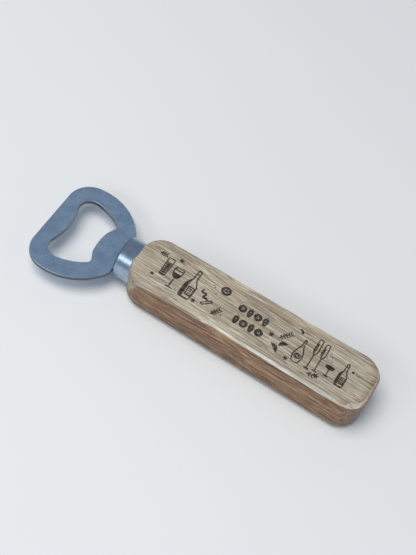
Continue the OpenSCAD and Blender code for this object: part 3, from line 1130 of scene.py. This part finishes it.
def print_near_head():
    """Glasses, a bottle, a corkscrew and fruit between the head end and the middle."""
    p = Print()
    sprig(p, -45.3, 4.6, 8, 3.0, 3)
    tumbler(p, -39.6, -3.9, 8.4, 2.7)
    p.star(-42.7, -5.8, 0.80)
    p.star(-36.3, 6.0, 0.95)
    stem_glass(p, -34.6, -7.3, 9.2, 3.8, 0.55)
    p.dots(0.22, (-32.9, -7.3), (-31.9, -6.8), (-31.1, -7.2))
    bottle(p, -27.6, -8.0, 14.2, 4.8)
    p.star(-23.6, -7.0, 0.95)
    corkscrew(p, -18.8, -4.7, 42)
    p.dots(0.28, (-20.2, 3.9), (-19.5, 3.3), (-17.8, 0.9))
    slice_of_fruit(p, -15.1, 4.4, 1.9)
    sprig(p, -15.2, -8.2, 58, 4.4, 4)
    p.disc(-11.6, -6.3, 0.35)
    return p.made("print_near_head")


def print_middle():
    """Two rows of crown caps and hop cones in turn, and a star."""
    p = Print()
    for i in range(4):
        x = -6.0 + 3.35 * i
        if i % 2 == 0:
            crown_cap(p, x, 1.4, 1.5)
            hop_cone(p, x, -4.4, 2.0)
        else:
            hop_cone(p, x, 1.2, 2.0)
            crown_cap(p, x, -4.4, 1.5)
    p.star(8.4, -1.9, 1.05)
    return p.made("print_middle")


def print_near_butt():
    """Fruit, bottles and glasses between the middle and the butt."""
    p = Print()
    sprig(p, 11.6, -1.6, 52, 5.6, 5)
    p.stroke([(16.8, 7.0), (17.8, 6.5), (18.4, 5.5)], 0.65)
    wedge(p, 11.7, -6.4, -38, 2.1)
    wedge(p, 14.3, -3.4, 40, 1.9)
    p.star(17.6, -7.9, 0.95)
    flask(p, 20.9, -7.4, 11.0, 4.0)
    flute(p, 26.0, -6.9, 14.4, 1.9)
    flute(p, 29.1, -6.2, 13.2, 1.9)
    p.dots(0.24, (30.7, 1.9), (32.4, 3.0), (31.6, 4.3), (33.2, 1.0))
    coupe(p, 33.6, -5.6, 4.9, 4.0)
    p.star(30.6, -7.8, 1.05)
    sprig(p, 27.0, -8.6, 4, 2.6, 2)
    bottle(p, 39.2, -6.6, 10.8, 3.3)
    p.disc(41.9, 2.0, 0.55)
    p.disc(44.4, 1.7, 0.2)
    return p.made("print_near_butt")


prints = [print_near_head(), print_middle(), print_near_butt()]


# ---- which body each piece rides on
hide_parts("wooden_handle")
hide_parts("head_plate")
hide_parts("collar")
for piece, slot in ((handle, "oak"), (plate, "satin_steel"), (collar, "polished_steel")):
    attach(piece, "root")
for piece in prints:
    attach(piece, "root")
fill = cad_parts["adhesive_fill"]
fill.data.materials.clear()
fill.data.materials.append(EPOXY)


# ---- floor, light and camera
FLOOR = 3  # half its side, in metres
corners = [(-FLOOR, -FLOOR, 0), (FLOOR, -FLOOR, 0), (FLOOR, FLOOR, 0), (-FLOOR, FLOOR, 0)]
floor = new_object("floor", corners, [(0, 1, 2, 3)], floor_material(), smooth=False)


def area_light(name, place, size, power, colour, glossy):
    """A soft box that looks at the origin. Only a glossy one is mirrored in the metal."""
    data = bpy.data.lights.new(name, "AREA")
    data.shape = "RECTANGLE"
    data.size, data.size_y = size
    data.energy = power
    data.color = colour
    obj = bpy.data.objects.new(name, data)
    obj.location = place
    obj.rotation_euler = (-Vector(place)).to_track_quat("-Z", "Y").to_euler()
    obj.visible_glossy = glossy
    SCENE.collection.objects.link(obj)


area_light("key", (-0.30, -0.25, 1.30), (0.8, 0.8), 14.5, (1.0, 0.985, 0.955), glossy=False)
area_light("front", (-0.25, -0.74, 0.66), (0.9, 0.24), 2.4, (0.90, 0.96, 1.0), glossy=True)

world = bpy.data.worlds.new("studio")
SCENE.world = world
world.use_nodes = True
sky = world.node_tree.nodes["Background"]
sky.inputs["Color"].default_value = (0.75, 0.87, 1.0, 1.0)
sky.inputs["Strength"].default_value = 0.35

AZIMUTH = math.radians(16.77)  # round the opener, from straight in front
ELEVATION = math.radians(54.98)  # above the floor
ROLL = math.radians(16.81)  # turn about the line of sight
AIM = Vector((FACE_X + 25.07 * MM, 17.67 * MM, 0.0))  # the middle of the view
DISTANCE = 0.4084  # from there, in metres
SENSOR, LENS = 36.0, 64.8649  # in millimetres

level_part = math.cos(ELEVATION)
back = Vector((math.sin(AZIMUTH) * level_part, -math.cos(AZIMUTH) * level_part, math.sin(ELEVATION)))
level = Vector((math.cos(AZIMUTH), math.sin(AZIMUTH), 0.0))
rise = back.cross(level)
right = level * math.cos(ROLL) + rise * math.sin(ROLL)
up = rise * math.cos(ROLL) - level * math.sin(ROLL)
turn = Matrix((right, up, back)).transposed()

camera_data = bpy.data.cameras.new("camera")
camera_data.sensor_width = SENSOR
camera_data.lens = LENS
camera_data.clip_start, camera_data.clip_end = 0.01, 20.0
camera = bpy.data.objects.new("camera", camera_data)
SCENE.collection.objects.link(camera)
camera.matrix_world = Matrix.Translation(AIM + back * DISTANCE) @ turn.to_4x4()
SCENE.camera = camera
SCENE.view_settings.view_transform = "Standard"
